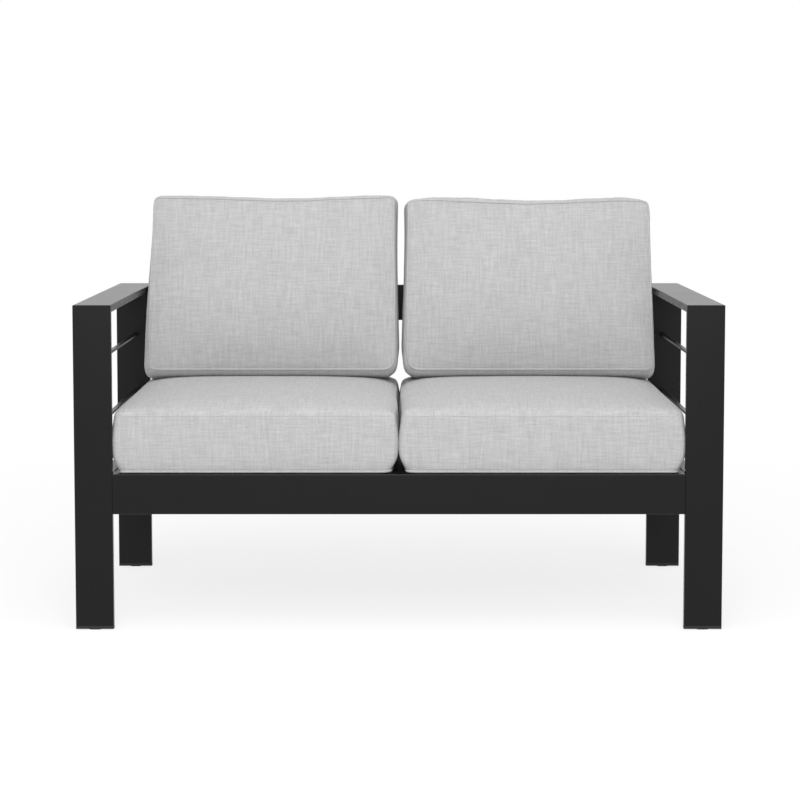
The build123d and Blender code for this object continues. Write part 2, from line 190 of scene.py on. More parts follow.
def sweep(
    shape: bmesh.types.BMesh,
    path: list[Vector],
    radius: Callable[[int], float],
    sides: int,
    closed: bool,
) -> None:
    """Extrude a ring of edges along a path.

    Args:
        shape: The bmesh that the tube is added to.
        path: Places along the tube's middle.
        radius: Radius at each place, by its index.
        sides: Number of sides of the tube.
        closed: Whether the tube meets itself at its start.
    """
    count = len(path)
    first: list[bmesh.types.BMVert] = []
    ring: list[bmesh.types.BMVert] = []
    across: Vector | None = None
    for index, place in enumerate(path):
        before = path[index - 1] if index or closed else place
        after = path[(index + 1) % count] if index + 1 < count or closed else place
        along = (after - before).normalized()
        if across is None:
            across = along.orthogonal().normalized()
        across = (across - along * across.dot(along)).normalized()
        turn = Matrix((across, along.cross(across), along)).transposed().to_4x4()
        place_matrix = Matrix.Translation(place) @ turn
        if not ring:
            made = bmesh.ops.create_circle(
                shape, cap_ends=not closed, segments=sides, radius=radius(index), matrix=place_matrix
            )
            ring = made["verts"]
            first = ring
            continue
        made = bmesh.ops.extrude_edge_only(shape, edges=list(edges_between(ring)))
        grown = [item for item in made["geom"] if isinstance(item, bmesh.types.BMVert)]
        order = {vert: at for at, vert in enumerate(ring)}
        grown.sort(key=lambda vert: min(order.get(edge.other_vert(vert), sides) for edge in vert.link_edges))
        for at, vert in enumerate(grown):
            angle = 2 * math.pi * at / sides
            reach = radius(index)
            vert.co = place_matrix @ Vector((-math.sin(angle) * reach, math.cos(angle) * reach, 0))
        ring = grown
    if closed:
        ends = edges_between(first) | edges_between(ring)
        bmesh.ops.bridge_loops(shape, edges=list(ends))
    else:
        bmesh.ops.contextual_create(shape, geom=ring)


class Nodes:
    """Short calls that add nodes to one node tree."""

    def __init__(self, tree: bpy.types.NodeTree) -> None:
        """Keep the tree that the nodes go into."""
        self.tree = tree

    def add(
        self, kind: str, values: dict[str | int, object] | None = None, **settings: object
    ) -> bpy.types.Node:
        """Add a node.

        Args:
            kind: Type name of the node.
            values: Plain values or sockets for its inputs, by name or index.
            **settings: Its own settings.

        Returns:
            The new node.
        """
        node = self.tree.nodes.new(kind)
        for name, value in settings.items():
            setattr(node, name, value)
        for name, value in (values or {}).items():
            if isinstance(value, bpy.types.NodeSocket):
                self.tree.links.new(value, node.inputs[name])
            else:
                node.inputs[name].default_value = value
        return node

    def math(self, kind: str, *values: object, clamp: bool = False) -> bpy.types.NodeSocket:
        """Work out one number from others.

        Args:
            kind: Operation of the Math node.
            *values: Numbers or sockets.
            clamp: Whether the result stays between 0 and 1.

        Returns:
            The result's socket.
        """
        node = self.add("ShaderNodeMath", dict(enumerate(values)), operation=kind, use_clamp=clamp)
        return node.outputs[0]

    def noise(
        self, place: bpy.types.NodeSocket, scale: float, detail: float, rough: float
    ) -> bpy.types.NodeSocket:
        """Add a noise pattern.

        Args:
            place: Where the pattern is read.
            scale: Its scale.
            detail: Its number of octaves.
            rough: How strong the finer octaves are.

        Returns:
            The socket of its value.
        """
        values = {"Vector": place, "Scale": scale, "Detail": detail, "Roughness": rough}
        return self.add("ShaderNodeTexNoise", values).outputs["Fac"]

    def stretch(self, place: bpy.types.NodeSocket, scale: Place) -> bpy.types.NodeSocket:
        """Scale a pattern's place on each axis."""
        return self.add("ShaderNodeMapping", {"Vector": place, "Scale": scale}).outputs[0]

    def between(self, share: object, low: object, high: object) -> bpy.types.NodeSocket:
        """Mix two colours.

        Args:
            share: How much of the second one.
            low: First colour or socket.
            high: Second colour or socket.

        Returns:
            The mixed colour's socket.
        """
        node = self.add("ShaderNodeMix", {0: share, 6: low, 7: high}, data_type="RGBA", clamp_factor=True)
        return node.outputs[2]

    def ranged(self, value: object, low: float, high: float) -> bpy.types.NodeSocket:
        """Turn a share from 0 to 1 into a value between two limits."""
        return self.add("ShaderNodeMapRange", {0: value, 3: low, 4: high}).outputs[0]


class Effect:
    """Base of the shader node groups: each is built once and placed in several materials."""

    title = ""
    inputs: tuple[tuple[str, str, float], ...] = ()
    outputs: tuple[tuple[str, str], ...] = ()

    @classmethod
    def group(cls) -> bpy.types.NodeTree:
        """Return the group, and build it the first time."""
        known = bpy.data.node_groups.get(cls.title)
        if known:
            return known
        tree = bpy.data.node_groups.new(cls.title, "ShaderNodeTree")
        for name, kind, value in cls.inputs:
            socket = tree.interface.new_socket(name, in_out="INPUT", socket_type=kind)
            if kind == "NodeSocketFloat":
                socket.default_value = value
        for name, kind in cls.outputs:
            tree.interface.new_socket(name, in_out="OUTPUT", socket_type=kind)
        nodes = Nodes(tree)
        given = nodes.add("NodeGroupInput")
        made = cls.build(nodes, given.outputs)
        nodes.add("NodeGroupOutput", dict(made))
        return tree

    @classmethod
    def build(cls, nodes: Nodes, given: bpy.types.NodeOutputs) -> dict[str, bpy.types.NodeSocket]:
        """Build the group's nodes and return its outputs by name."""
        raise NotImplementedError

    @classmethod
    def place(cls, nodes: Nodes, values: dict[str, object]) -> bpy.types.NodeOutputs:
        """Put the group into a material.

        Args:
            nodes: The material's nodes.
            values: Values or sockets of the group's inputs.

        Returns:
            The group's outputs.
        """
        return nodes.add("ShaderNodeGroup", values, node_tree=cls.group()).outputs


def empty_material(title: str) -> tuple[bpy.types.Material, Nodes]:
    """Make a material that has no nodes yet."""
    made = bpy.data.materials.new(title)
    made.use_nodes = True
    made.node_tree.nodes.clear()
    return made, Nodes(made.node_tree)


class Grain(Effect):
    """Fine grain of a coated, moulded or rolled surface, with slow patches over it."""

    title = "surface grain"
    inputs = (
        ("Place", "NodeSocketVector", 0.0),
        ("Grain Scale", "NodeSocketFloat", 900.0),
        ("Patch Scale", "NodeSocketFloat", 9.0),
    )
    outputs = (("Grain", "NodeSocketFloat"), ("Patches", "NodeSocketFloat"))

    @classmethod
    def build(cls, nodes: Nodes, given: bpy.types.NodeOutputs) -> dict[str, bpy.types.NodeSocket]:
        """Build a fine noise and a slow one."""
        fine = nodes.add("ShaderNodeTexNoise", {"Vector": given[0], "Scale": given[1], "Detail": 2.0})
        slow = nodes.add("ShaderNodeTexNoise", {"Vector": given[0], "Scale": given[2], "Detail": 4.0})
        return {"Grain": fine.outputs["Fac"], "Patches": slow.outputs["Fac"]}


class Weave(Effect):
    """Plain weave with thick and thin yarns both ways, read from a piece's cloth map in metres."""

    title = "linen weave"
    inputs = (
        ("Cloth", "NodeSocketVector", 0.0),
        ("Yarns Per Metre", "NodeSocketFloat", 1250.0),
        ("Slub Width", "NodeSocketFloat", 290.0),
        ("Slub Length", "NodeSocketFloat", 23.0),
    )
    outputs = (("Shade", "NodeSocketFloat"), ("Height", "NodeSocketFloat"))
    fleck_scale = 330.0
    fleck_share = 0.7
    cell_height = 0.55
    streak_height = 1.1

    @classmethod
    def build(cls, nodes: Nodes, given: bpy.types.NodeOutputs) -> dict[str, bpy.types.NodeSocket]:
        """Build streaks along and across the cloth over a fine over-and-under pattern."""
        cloth, pitch, width, length = given[0], given[1], given[2], given[3]
        along = nodes.add("ShaderNodeCombineXYZ", {0: length, 1: width, 2: 1.0}).outputs[0]
        across = nodes.add("ShaderNodeCombineXYZ", {0: width, 1: length, 2: 1.0}).outputs[0]
        streaks = []
        for scale, shift in ((along, 3.1), (across, 8.7)):
            spread = nodes.add("ShaderNodeVectorMath", {0: cloth, 1: scale}, operation="MULTIPLY").outputs[0]
            moved = nodes.add("ShaderNodeVectorMath", {0: spread, 1: (shift, shift, shift)}, operation="ADD")
            streak = nodes.noise(moved.outputs[0], 1.0, 3.0, 0.62)
            streaks.append(nodes.math("SUBTRACT", streak, 0.5))
        turned = nodes.add("ShaderNodeVectorMath", {0: cloth, "Scale": math.pi}, operation="SCALE").outputs[0]
        scaled = nodes.add("ShaderNodeVectorMath", {0: turned, "Scale": pitch}, operation="SCALE").outputs[0]
        split = nodes.add("ShaderNodeSeparateXYZ", {0: scaled}).outputs
        over = nodes.math("MULTIPLY", nodes.math("SINE", split[0]), nodes.math("SINE", split[1]))
        cell = nodes.math("MULTIPLY", nodes.math("ABSOLUTE", over), cls.cell_height)
        streak = nodes.math("ADD", *streaks)
        fleck = nodes.math("SUBTRACT", nodes.noise(cloth, cls.fleck_scale, 2.0, 0.6), 0.5)
        flecked = nodes.math("ADD", streak, nodes.math("MULTIPLY", fleck, cls.fleck_share))
        shade = nodes.math("ADD", flecked, 0.5)
        height = nodes.math("ADD", cell, nodes.math("MULTIPLY", streak, cls.streak_height))
        return {"Shade": shade, "Height": height}


@dataclass(frozen=True)
class Finish:
    """Base of the finishes: a Principled material that is built once from its inputs."""

    title: str

    def material(self) -> bpy.types.Material:
        """Return the material, and build it the first time."""
        known = bpy.data.materials.get(self.title)
        if known:
            return known
        made, nodes = empty_material(self.title)
        shader = nodes.add("ShaderNodeBsdfPrincipled", self.inputs(nodes))
        nodes.add("ShaderNodeOutputMaterial", {"Surface": shader.outputs[0]})
        return made

    def inputs(self, nodes: Nodes) -> dict[str, object]:
        """Build the finish's nodes and return the shader's inputs by name."""
        raise NotImplementedError

    @staticmethod
    def tones(nodes: Nodes, share: object, low: Colour, high: Colour) -> bpy.types.NodeSocket:
        """Mix the finish's two tones."""
        return nodes.between(share, (*low, 1), (*high, 1))

    @staticmethod
    def bump(nodes: Nodes, height: object, strength: float, distance: float) -> bpy.types.NodeSocket:
        """Turn a height into a bumped normal."""
        values = {"Height": height, "Strength": strength, "Distance": distance}
        return nodes.add("ShaderNodeBump", values).outputs[0]


@dataclass(frozen=True)
class GrainedFinish(Finish):
    """Coated, moulded or rolled surface with a fine grain and slow patches of gloss."""

    dark: Colour = (0.0014, 0.0014, 0.0015)
    light: Colour = (0.0030, 0.0030, 0.0032)
    metallic: float = 0.0
    specular: float = 0.25
    rough_low: float = 0.24
    rough_high: float = 0.32
    grain_scale: float = 1100.0
    grain_height: float = 0.00004
    grain_share: float = 0.45
    patch_share: float = 0.55
    bump_strength: float = 0.35
    stretch: Place = (1.0, 1.0, 1.0)

    def inputs(self, nodes: Nodes) -> dict[str, object]:
        """Build the finish from the grain group."""
        place = nodes.add("ShaderNodeTexCoord").outputs["Object"]
        drawn = nodes.stretch(place, self.stretch)
        grain = Grain.place(nodes, {"Place": drawn, "Grain Scale": self.grain_scale})
        patches = nodes.math("MULTIPLY", grain["Patches"], self.patch_share)
        share = nodes.math("MULTIPLY_ADD", grain["Grain"], self.grain_share, patches)
        return {
            "Base Color": self.tones(nodes, share, self.dark, self.light),
            "Metallic": self.metallic,
            "Specular IOR Level": self.specular,
            "Roughness": nodes.ranged(share, self.rough_low, self.rough_high),
            "Normal": self.bump(nodes, grain["Grain"], self.bump_strength, self.grain_height),
        }


@dataclass(frozen=True)
class Linen(Finish):
    """Woven cover cloth with slubs both ways."""

    shaded: Colour = (0.352, 0.351, 0.352)
    lit: Colour = (0.559, 0.557, 0.558)
    rough_shaded: float = 0.95
    rough_lit: float = 0.82
    specular: float = 0.2
    sheen: float = 0.12
    sheen_rough: float = 0.5
    bump_strength: float = 0.4
    height: float = 0.00022

    def inputs(self, nodes: Nodes) -> dict[str, object]:
        """Build the cloth from the weave group."""
        cloth = nodes.add("ShaderNodeUVMap", uv_map=CLOTH_MAP).outputs[0]
        weave = Weave.place(nodes, {"Cloth": cloth})
        return {
            "Base Color": self.tones(nodes, weave["Shade"], self.shaded, self.lit),
            "Roughness": nodes.ranged(weave["Shade"], self.rough_shaded, self.rough_lit),
            "Specular IOR Level": self.specular,
            "Sheen Weight": self.sheen,
            "Sheen Roughness": self.sheen_rough,
            "Normal": self.bump(nodes, weave["Height"], self.bump_strength, self.height),
        }


@dataclass(frozen=True)
class OpenCellFoam(Finish):
    """Cut polyether foam with open cells of about a millimetre, with painted shade in the cell hollows."""

    wall: Colour = (0.62, 0.58, 0.42)
    # Painted shade: the cell tone darkens the hollow of each open cell; the wall tone is the foam's own
    # colour.
    cell: Colour = (0.40, 0.36, 0.24)
    cell_scale: float = 900.0
    cell_depth: float = 0.0005
    grain_scale: float = 300.0
    patch_scale: float = 6.0
    patch_share: float = 0.4
    rough_cell: float = 0.98
    rough_wall: float = 0.88
    bump_strength: float = 0.5

    def inputs(self, nodes: Nodes) -> dict[str, object]:
        """Build the foam from cells over slow patches, with shade painted into the cell hollows."""
        place = nodes.add("ShaderNodeTexCoord").outputs["Object"]
        values = {"Vector": place, "Scale": self.cell_scale}
        cells = nodes.add("ShaderNodeTexVoronoi", values).outputs["Distance"]
        values = {"Place": place, "Grain Scale": self.grain_scale, "Patch Scale": self.patch_scale}
        patches = Grain.place(nodes, values)["Patches"]
        # The share is lowest in each cell's hollow, where the bump is lowest too, so the cell tone paints
        # shade there; the slow patches are the foam's own tone.
        share = nodes.math("MULTIPLY_ADD", patches, self.patch_share, cells, clamp=True)
        return {
            "Base Color": self.tones(nodes, share, self.cell, self.wall),
            "Roughness": nodes.ranged(share, self.rough_cell, self.rough_wall),
            "Normal": self.bump(nodes, cells, self.bump_strength, self.cell_depth),
        }


POWDER_COAT = GrainedFinish("black powder coat")
WELD_COAT = GrainedFinish("coated weld bead", rough_low=0.34, rough_high=0.50, grain_scale=1600.0)
CAP_PLASTIC = GrainedFinish(
    "moulded black plastic",
    dark=(0.009, 0.009, 0.009),
    light=(0.016, 0.016, 0.016),
    specular=0.4,
    rough_low=0.48,
    rough_high=0.62,
    grain_scale=1900.0,
    grain_height=0.00008,
)
PLATE_ALUMINIUM = GrainedFinish(
    "rolled aluminium",
    dark=(0.55, 0.55, 0.56),
    light=(0.74, 0.74, 0.75),
    metallic=1.0,
    specular=0.5,
    rough_low=0.30,
    rough_high=0.48,
    grain_scale=500.0,
    stretch=(1.0, 0.05, 1.0),
)
BOLT_STEEL = GrainedFinish(
    "stainless bolt steel",
    dark=(0.38, 0.38, 0.37),
    light=(0.58, 0.58, 0.57),
    metallic=1.0,
    specular=0.5,
    rough_low=0.22,
    rough_high=0.36,
    grain_scale=1500.0,
)
ZINC_STEEL = GrainedFinish(
    "zinc-plated steel",
    dark=(0.42, 0.43, 0.45),
    light=(0.62, 0.63, 0.66),
    metallic=1.0,
    specular=0.5,
    rough_low=0.30,
    rough_high=0.45,
    grain_scale=700.0,
)
ZIP_NYLON = GrainedFinish(
    "grey zip nylon",
    dark=(0.30, 0.30, 0.31),
    light=(0.38, 0.38, 0.39),
    specular=0.4,
    rough_low=0.42,
    rough_high=0.55,
    grain_scale=1400.0,
)
COVER_LINEN = Linen("light grey linen cloth")
WELT_LINEN = Linen(
    "bias-cut welt linen",
    shaded=(0.400, 0.399, 0.400),
    lit=(0.530, 0.528, 0.529),
    height=0.00012,
)
CUSHION_FOAM = OpenCellFoam("open-cell cushion foam")


@dataclass
class DressedFrame:
    """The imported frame's own nodes, each with the finish of its slot."""

    small_parts: tuple[tuple[Finish, tuple[str, ...]], ...] = (
        (CAP_PLASTIC, ("foot_cap", "arm_end_cap")),
        (PLATE_ALUMINIUM, ("end_plate",)),
        (BOLT_STEEL, ("bolts",)),
        (ZINC_STEEL, ("rivet_nuts",)),
    )
    tubes: Finish = POWDER_COAT

    def finish_of(self, node: str) -> Finish:
        """Finish of a node, by the words in its name."""
        for finish, words in self.small_parts:
            if any(word in node for word in words):
                return finish
        return self.tubes

    def dress(self) -> None:
        """Give each rigid node its finish."""
        for name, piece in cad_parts.items():
            if "cushion" in name:
                continue
            finish = self.finish_of(name)
            piece.data.materials.clear()
            piece.data.materials.append(finish.material())
            LOG.info("node %s: %s", name, finish.title)


@dataclass
class WeldBeads:
    """Coated weld beads where the frame's tubes meet, one piece for each group of joints."""

    radius: float = 0.0019
    ripple: float = 0.00025
    step: float = 0.0011
    sides: int = 8
    stand_off: float = 0.0006
    arm_inset: float = 0.004
    rail_inset: float = 0.003
    rail_start: float = 0.004
    slat_inset: float = 0.003
    slats: int = 9

    def bead(self, shape: bmesh.types.BMesh, start: Place, end: Place, out: Place) -> None:
        """Add one bead between two places.

        Args:
            shape: The bmesh that holds the group's beads.
            start: First end of the joint.
            end: Other end of the joint.
            out: Direction out of the corner that the bead fills.
        """
        first, last = Vector(start), Vector(end)
        lift = Vector(out).normalized() * self.stand_off
        count = max(int((last - first).length / self.step), 3)
        path = [first.lerp(last, index / count) + lift for index in range(count + 1)]

        def radius(index: int) -> float:
            """Radius with the ripple of the weld pool, drawn in at the ends."""
            taper = 0.75 + 0.25 * min(index, count - index, 2) / 2
            return (self.radius + self.ripple * math.cos(index * math.pi * 0.8)) * taper

        sweep(shape, path, radius, self.sides, closed=False)

    def arm_beads(self, side: Side) -> bmesh.types.BMesh:
        """Beads where the rear leg and the front leg meet the arm.

        Args:
            side: Side of the loveseat.

        Returns:
            A bmesh with the beads.
        """
        shape = bmesh.new()
        low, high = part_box(f"rear_leg_{side.value}")
        _, front_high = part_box(f"front_leg_{side.value}")
        inset = self.arm_inset
        for y, out in ((low.y, -1), (high.y, 1), (front_high.y, 1)):
            self.bead(shape, (low.x + inset, y, high.z), (high.x - inset, y, high.z), (0, out, -1))
        return shape

    def side_bar_beads(self, side: Side) -> bmesh.types.BMesh:
        """Beads round the ends of the flat bars and of the side rail.

        Args:
            side: Side of the loveseat.

        Returns:
            A bmesh with the beads.
        """
        shape = bmesh.new()
        for name in ("upper_side_slat", "lower_side_slat"):
            low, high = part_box(f"{name}_{side.value}")
            for y, out in ((low.y, 1), (high.y, -1)):
                self.bead(shape, (low.x, y, low.z), (high.x, y, low.z), (0, out, -1))
                self.bead(shape, (low.x, y, high.z), (high.x, y, high.z), (0, out, 1))
        low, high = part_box(f"side_rail_{side.value}")
        inner, outer = side.pick((high.x, low.x), (low.x, high.x))
        start = inner + side.sign * self.rail_start
        inset = self.rail_inset
        for y, out in ((low.y, 1), (high.y, -1)):
            self.bead(shape, (outer, y, low.z + inset), (outer, y, high.z - inset), (side.sign, out, 0))
            self.bead(shape, (start, y, low.z), (outer, y, low.z), (0, out, -1))
        return shape

    def slat_beads(self) -> bmesh.types.BMesh:
        """Beads under the seat slats, at the rails and at the brace.

        Returns:
            A bmesh with the beads.
        """
        shape = bmesh.new()
        brace_low, brace_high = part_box("seat_brace")
        inset = self.slat_inset
        for index in range(1, self.slats + 1):
            low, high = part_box(f"seat_slat_{index}")
            for y, out in ((low.y, 1), (high.y, -1), (brace_low.y, -1), (brace_high.y, 1)):
                self.bead(shape, (low.x + inset, y, low.z), (high.x - inset, y, low.z), (0, out, -1))
        return shape

    def make(self) -> None:
        """Build all beads, dress them and fix them to the frame."""
        groups = {"seat_slat_welds": self.slat_beads()}
        for side in Side:
            groups[f"arm_welds_{side.value}"] = self.arm_beads(side)
            groups[f"side_bar_welds_{side.value}"] = self.side_bar_beads(side)
        for name, shape in groups.items():
            piece = object_from(name, shape)
            piece.data.materials.append(WELD_COAT.material())
            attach(piece, "frame")
            LOG.info("piece %s: %d faces", name, len(piece.data.polygons))


@dataclass
class Welt:
    """A corded or plain seam round one face of a cushion, in the cushion's own frame."""

    name: str
    height: float
    sink: float
    radius: float
    groove: float
    top_line: tuple[float, ...] = ()


# How far the shaping of the cushions reaches, in metres.
END_DROP_RUN, END_DROP_STOP = 0.11, 0.01
SWELL_RUN = 0.028
LOW_END_RUN = 0.075
FOOT_HEIGHT = 0.034
CORNER_RUN = 0.036
PUSH_DEPTH = 0.026
PUSH_RUN = 0.11
GAP_HOLD, GAP_END = 0.06, 0.14
SEAM_DROP_START = 0.08
# Shares of the thickness and of the length between which a corner's and a side's draw grow.
BEHIND_START, BEHIND_END, TOP_DRAW_START = 0.35, 0.98, 0.3
# Share of the foot's draw that the middle of a side has, and where it begins to grow towards the ends.
FOOT_MIDDLE, FOOT_END_START = 0.4, 0.7
# Share of the foot's draw by which the near end is tucked in as well.
TUCK_SHARE = 0.5
# The zip's slider and its pull, measured from the slider's middle, with the width of their rounding.
SLIDER_HALF, SLIDER_ROUND = (0.006, 0.0022, 0.0045), 0.0012
PULL_LOW, PULL_HIGH, PULL_ROUND = (0.004, 0.0, -0.0035), (0.026, 0.0012, 0.0035), 0.0005
PULL_OUT = 0.0020
# Which place along the coil the slider stands at.
SLIDER_PLACE = 8
# How near the wall of its room a cover is held back, and how softly.
WALL_REACH, WALL_SOFTNESS = 0.003, 0.0005
# Shifts that give each cushion and each side of it another part of the cloth.
CLOTH_SHIFT, END_SHIFT, SIDE_SHIFT = 1.7, 3.0, 6.0
# How firmly the simulation holds a cover at its seams and everywhere, and where the seams' hold ends.
SEAM_HOLD, FREE_HOLD = 0.96, 0.02
HOLD_REACH = (0.003, 0.030)
# Distances from a seam between which the pulls beside it begin and end, and where slack cloth begins.
PULL_START, PULL_END, SLACK_START = (0.002, 0.010), (0.018, 0.060), (0.01, 0.08)
# How far from a seam its groove is cut.
GROOVE_REACH = 0.012
# Share by which the CAD cover's swell falls towards its ends, and how square the swell is drawn here.
CAD_SWELL_FALL = 0.92
UPPER_SQUARENESS, LOWER_SQUARENESS = 12, 4
# The slow wave of the seats' inner sides: radians per metre, and a place where it is zero.
WAVE_RATE, WAVE_NODE = 14.0, 0.17
# Shares of the half width between which that wave grows.
WAVE_START, WAVE_END = 0.2, 0.9
# Scale and shift of the cloth on a welt, which is cut on the bias.
BIAS_SCALE, BIAS_SHIFT = 0.7, 9.0


@dataclass
class Cushion:
    """A boxed cushion: a sewn cover drawn tight over foam, with its seams, zip and foam core.

    The cushion's own frame has X across, Y along it from its lower or front end, and Z out of its face.
    """

    body: str
    cover_node: str
    foam_node: str
    place: Matrix
    width: float
    length: float
    thick: float
    swell: float
    corner: float
    welts: tuple[Welt, ...]
    end_line: tuple[float, ...] = (0.0, 0.0)
    crown: float = 0.017
    full_crown: float = 0.017
    sag: float = 0.0
    foot_push: tuple[float, float] = (0.0, 0.0)
    foot_draw: float = 0.0
    low_round: float = 0.0
    inner_side: int = 1
    swell_start: float = 0.0
    inner_swell_start: float = -0.014
    inner_wave: float = 0.0
    inner_gap: float = 0.0
    rim: float = 0.0
    rim_reach: float = 0.040
    fullness: tuple[float, float] = (2.0, 2.0)
    low_corner_draw: tuple[float, float] = (0.0, 0.0)
    top_draw: tuple[float, float] = (0.0, 0.0)
    side_growth: tuple[float, float] = (0.0, 0.0)
    seed: int = 0
    pull_rate: float = 42.0
    pull_depth: float = 0.0009
    slack_rate: float = 9.0
    slack_depth: float = 0.0011
    draw_depth: float = 0.0006
    groove_width: float = 0.0034
    voxel: float = 0.006
    pressure: float = 4.0
    travel: float = 0.024
    start_inset: float = 0.003
    hold_back: float = 0.0004
    zip_length: float = 0.40
    zip_step: float = 0.004
    zip_levels: tuple[float, float] = (0.30, 0.5)
    zip_reach: float = 0.01
    tape_width: float = 0.024
    tape_thick: float = 0.0008
    tape_lift: float = 0.0002
    coil_radius: float = 0.0021
    coil_ripple: float = 0.00045
    coil_lift: float = 0.0009
    foam_room: float = 0.012
    foam_set_back: float = 0.024
    foam_crown: float = 0.008
    foam_round: float = 0.010
    zip_on_far_end: bool = True
    made: list[bpy.types.Object] = field(default_factory=list, init=False)

    def outer_wall(self) -> bmesh.types.BMesh:
        """Copy the outer wall of the CAD cover into the cushion's own frame.

        Returns:
            A closed bmesh of the cover's outside.
        """
        shape = bmesh.new()
        shape.from_mesh(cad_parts[self.cover_node].data)
        bmesh.ops.remove_doubles(shape, verts=shape.verts, dist=1e-5)
        shape.verts.ensure_lookup_table()
        start = max(shape.verts, key=lambda vert: vert.co.z)
        wall, todo = {start}, [start]
        while todo:
            for edge in todo.pop().link_edges:
                for vert in edge.verts:
                    if vert not in wall:
                        wall.add(vert)
                        todo.append(vert)
        inner = [vert for vert in shape.verts if vert not in wall]
        bmesh.ops.delete(shape, geom=inner, context="VERTS")
        bmesh.ops.transform(shape, matrix=self.place.inverted(), verts=shape.verts)
        bmesh.ops.recalc_face_normals(shape, faces=shape.faces)
        return shape

    def end_drop(self, place: Vector) -> float:
        """How far the far end's top line drops at one place, in metres."""
        drop = blend_along(self.end_line, place.x / self.width + 0.5)
        return drop * smoothstep(place.y, self.length / 2 - END_DROP_RUN, self.length / 2 - END_DROP_STOP)

    def crown_lift(self, place: Vector) -> float:
        """How far the face stands above the plain CAD form.

        Args:
            place: Place on the CAD form, in the cushion's own frame.

        Returns:
            The lift along Z, in metres.
        """
        across, along = 2 * place.x / self.width, 2 * place.y / self.length
        plain = max(1 - across * across, 0.0) * max(1 - along * along, 0.0)
        wide, deep = self.fullness
        sagged = along + self.sag * (1 - along * along)
        full = max(1 - abs(across) ** wide, 0.0) * max(1 - abs(sagged) ** deep, 0.0)
        to_edge = min(self.width / 2 - abs(place.x), self.length / 2 - abs(place.y))
        rise = 1 - min(max(to_edge, 0.0) / self.rim_reach, 1.0)
        rim = self.rim * math.sqrt(max(1 - rise * rise, 0.0))
        lift = rim + (self.full_crown - self.rim) * full - self.crown * plain
        return lift * smoothstep(place.z, self.thick * 0.5, self.thick)

    def side_swell(self, place: Vector) -> float:
        """How far a side between the seams stands out beyond the CAD form's own swell.

        Args:
            place: Place on the CAD form, in the cushion's own frame.

        Returns:
            The growth outwards, in metres.
        """
        along = 2 * place.y / self.length
        level = min(max(place.z / self.thick, 0.0), 1.0)
        swell_now = max(1 - CAD_SWELL_FALL * along * along, 0.0) * 4 * level * (1 - level)
        to_end = self.length / 2 - abs(place.y)
        swell_start = self.swell_start if place.x * self.inner_side < 0 else self.inner_swell_start
        swell_full = smoothstep(to_end, swell_start, swell_start + SWELL_RUN)
        swell_full *= 1 - abs(2 * level - 1) ** (UPPER_SQUARENESS if level > 0.5 else LOWER_SQUARENESS)
        return max(self.swell * (swell_full - swell_now), 0.0)

    def side_slide(self, place: Vector) -> float:
        """How far a side is drawn in towards the cushion's middle.

        Args:
            place: Place on the CAD form, in the cushion's own frame.

        Returns:
            The slide inwards, in metres, negative where the side grows.
        """
        near_end = -self.length / 2
        behind = 1 - smoothstep(place.z, self.thick * BEHIND_START, self.thick * BEHIND_END)
        low_end = 1 - smoothstep(place.y, near_end, near_end + LOW_END_RUN)
        top_end = smoothstep(place.y, -self.length * TOP_DRAW_START, self.length / 2)
        side = 0 if place.x < 0 else 1
        slide = self.low_corner_draw[side] * behind * low_end + self.top_draw[side] * top_end
        slide += self.corner_slide(place)
        if place.x * self.inner_side > 0:
            slide += self.inner_gap * (1 - smoothstep(place.y, GAP_HOLD + near_end, GAP_END + near_end))
        return slide - (self.side_growth[side] + self.side_swell(place))

    def shaped(self, place: Vector) -> Vector:
        """Change a place on the plain CAD form into its place on the filled cushion.

        Args:
            place: Place on the CAD form, in the cushion's own frame.

        Returns:
            The place on the cushion that the photograph shows.
        """
        across = 2 * place.x / self.width
        wave = self.inner_wave * smoothstep(across * self.inner_side, WAVE_START, WAVE_END)
        wave *= math.sin(WAVE_RATE * (place.y - WAVE_NODE))
        along_shift = self.foot_rise(place) - self.end_drop(place)
        return place + Vector((wave - self.side_slide(place) * across, along_shift, self.crown_lift(place)))

    def corner_slide(self, place: Vector) -> float:
        """How far a side is drawn in at the foot and rounded off at the near end's corners, in metres."""
        to_ends = smoothstep(2 * abs(place.y) / self.length, FOOT_END_START, 1.0)
        near_end = FOOT_MIDDLE + (1 - FOOT_MIDDLE) * to_ends
        foot = self.foot_draw * near_end * (1 - smoothstep(place.z, 0.0, FOOT_HEIGHT))
        from_end = min(max((place.y + self.length / 2) / CORNER_RUN, 0.0), 1.0)
        rounding = self.low_round if place.x * self.inner_side > 0 else 0.0
        return foot + rounding * (1 - from_end) ** 2

    def foot_rise(self, place: Vector) -> float:
        """How far the near end is pushed in at its foot and by what the cushion stands on, in metres."""
        edge = -self.length / 2
        share = min(max(1 - (self.thick - place.z) / PUSH_DEPTH, 0.0), 1.0) ** 2
        low, high = self.foot_push
        tucked = TUCK_SHARE * self.foot_draw * (1 - smoothstep(place.z, 0.0, FOOT_HEIGHT))
        return (low + (high - low) * share + tucked) * (1 - smoothstep(place.y, edge, edge + PUSH_RUN))

    def start_mesh(self) -> bpy.types.Object:
        """Build the evenly meshed cushion that the simulation starts from.

        Returns:
            An object in the cushion's own frame.
        """
        shape = self.outer_wall()
        piece = object_from(self.cover_node.replace("_cover", ""), shape)
        remesh = piece.modifiers.new("even mesh", "REMESH")
        remesh.mode = "VOXEL"
        remesh.voxel_size = self.voxel
        relax = piece.modifiers.new("relax", "SMOOTH")
        relax.factor = 0.5
        relax.iterations = 2
        apply_modifiers(piece)
        for vert in piece.data.vertices:
            vert.co = self.shaped(vert.co)
        return piece

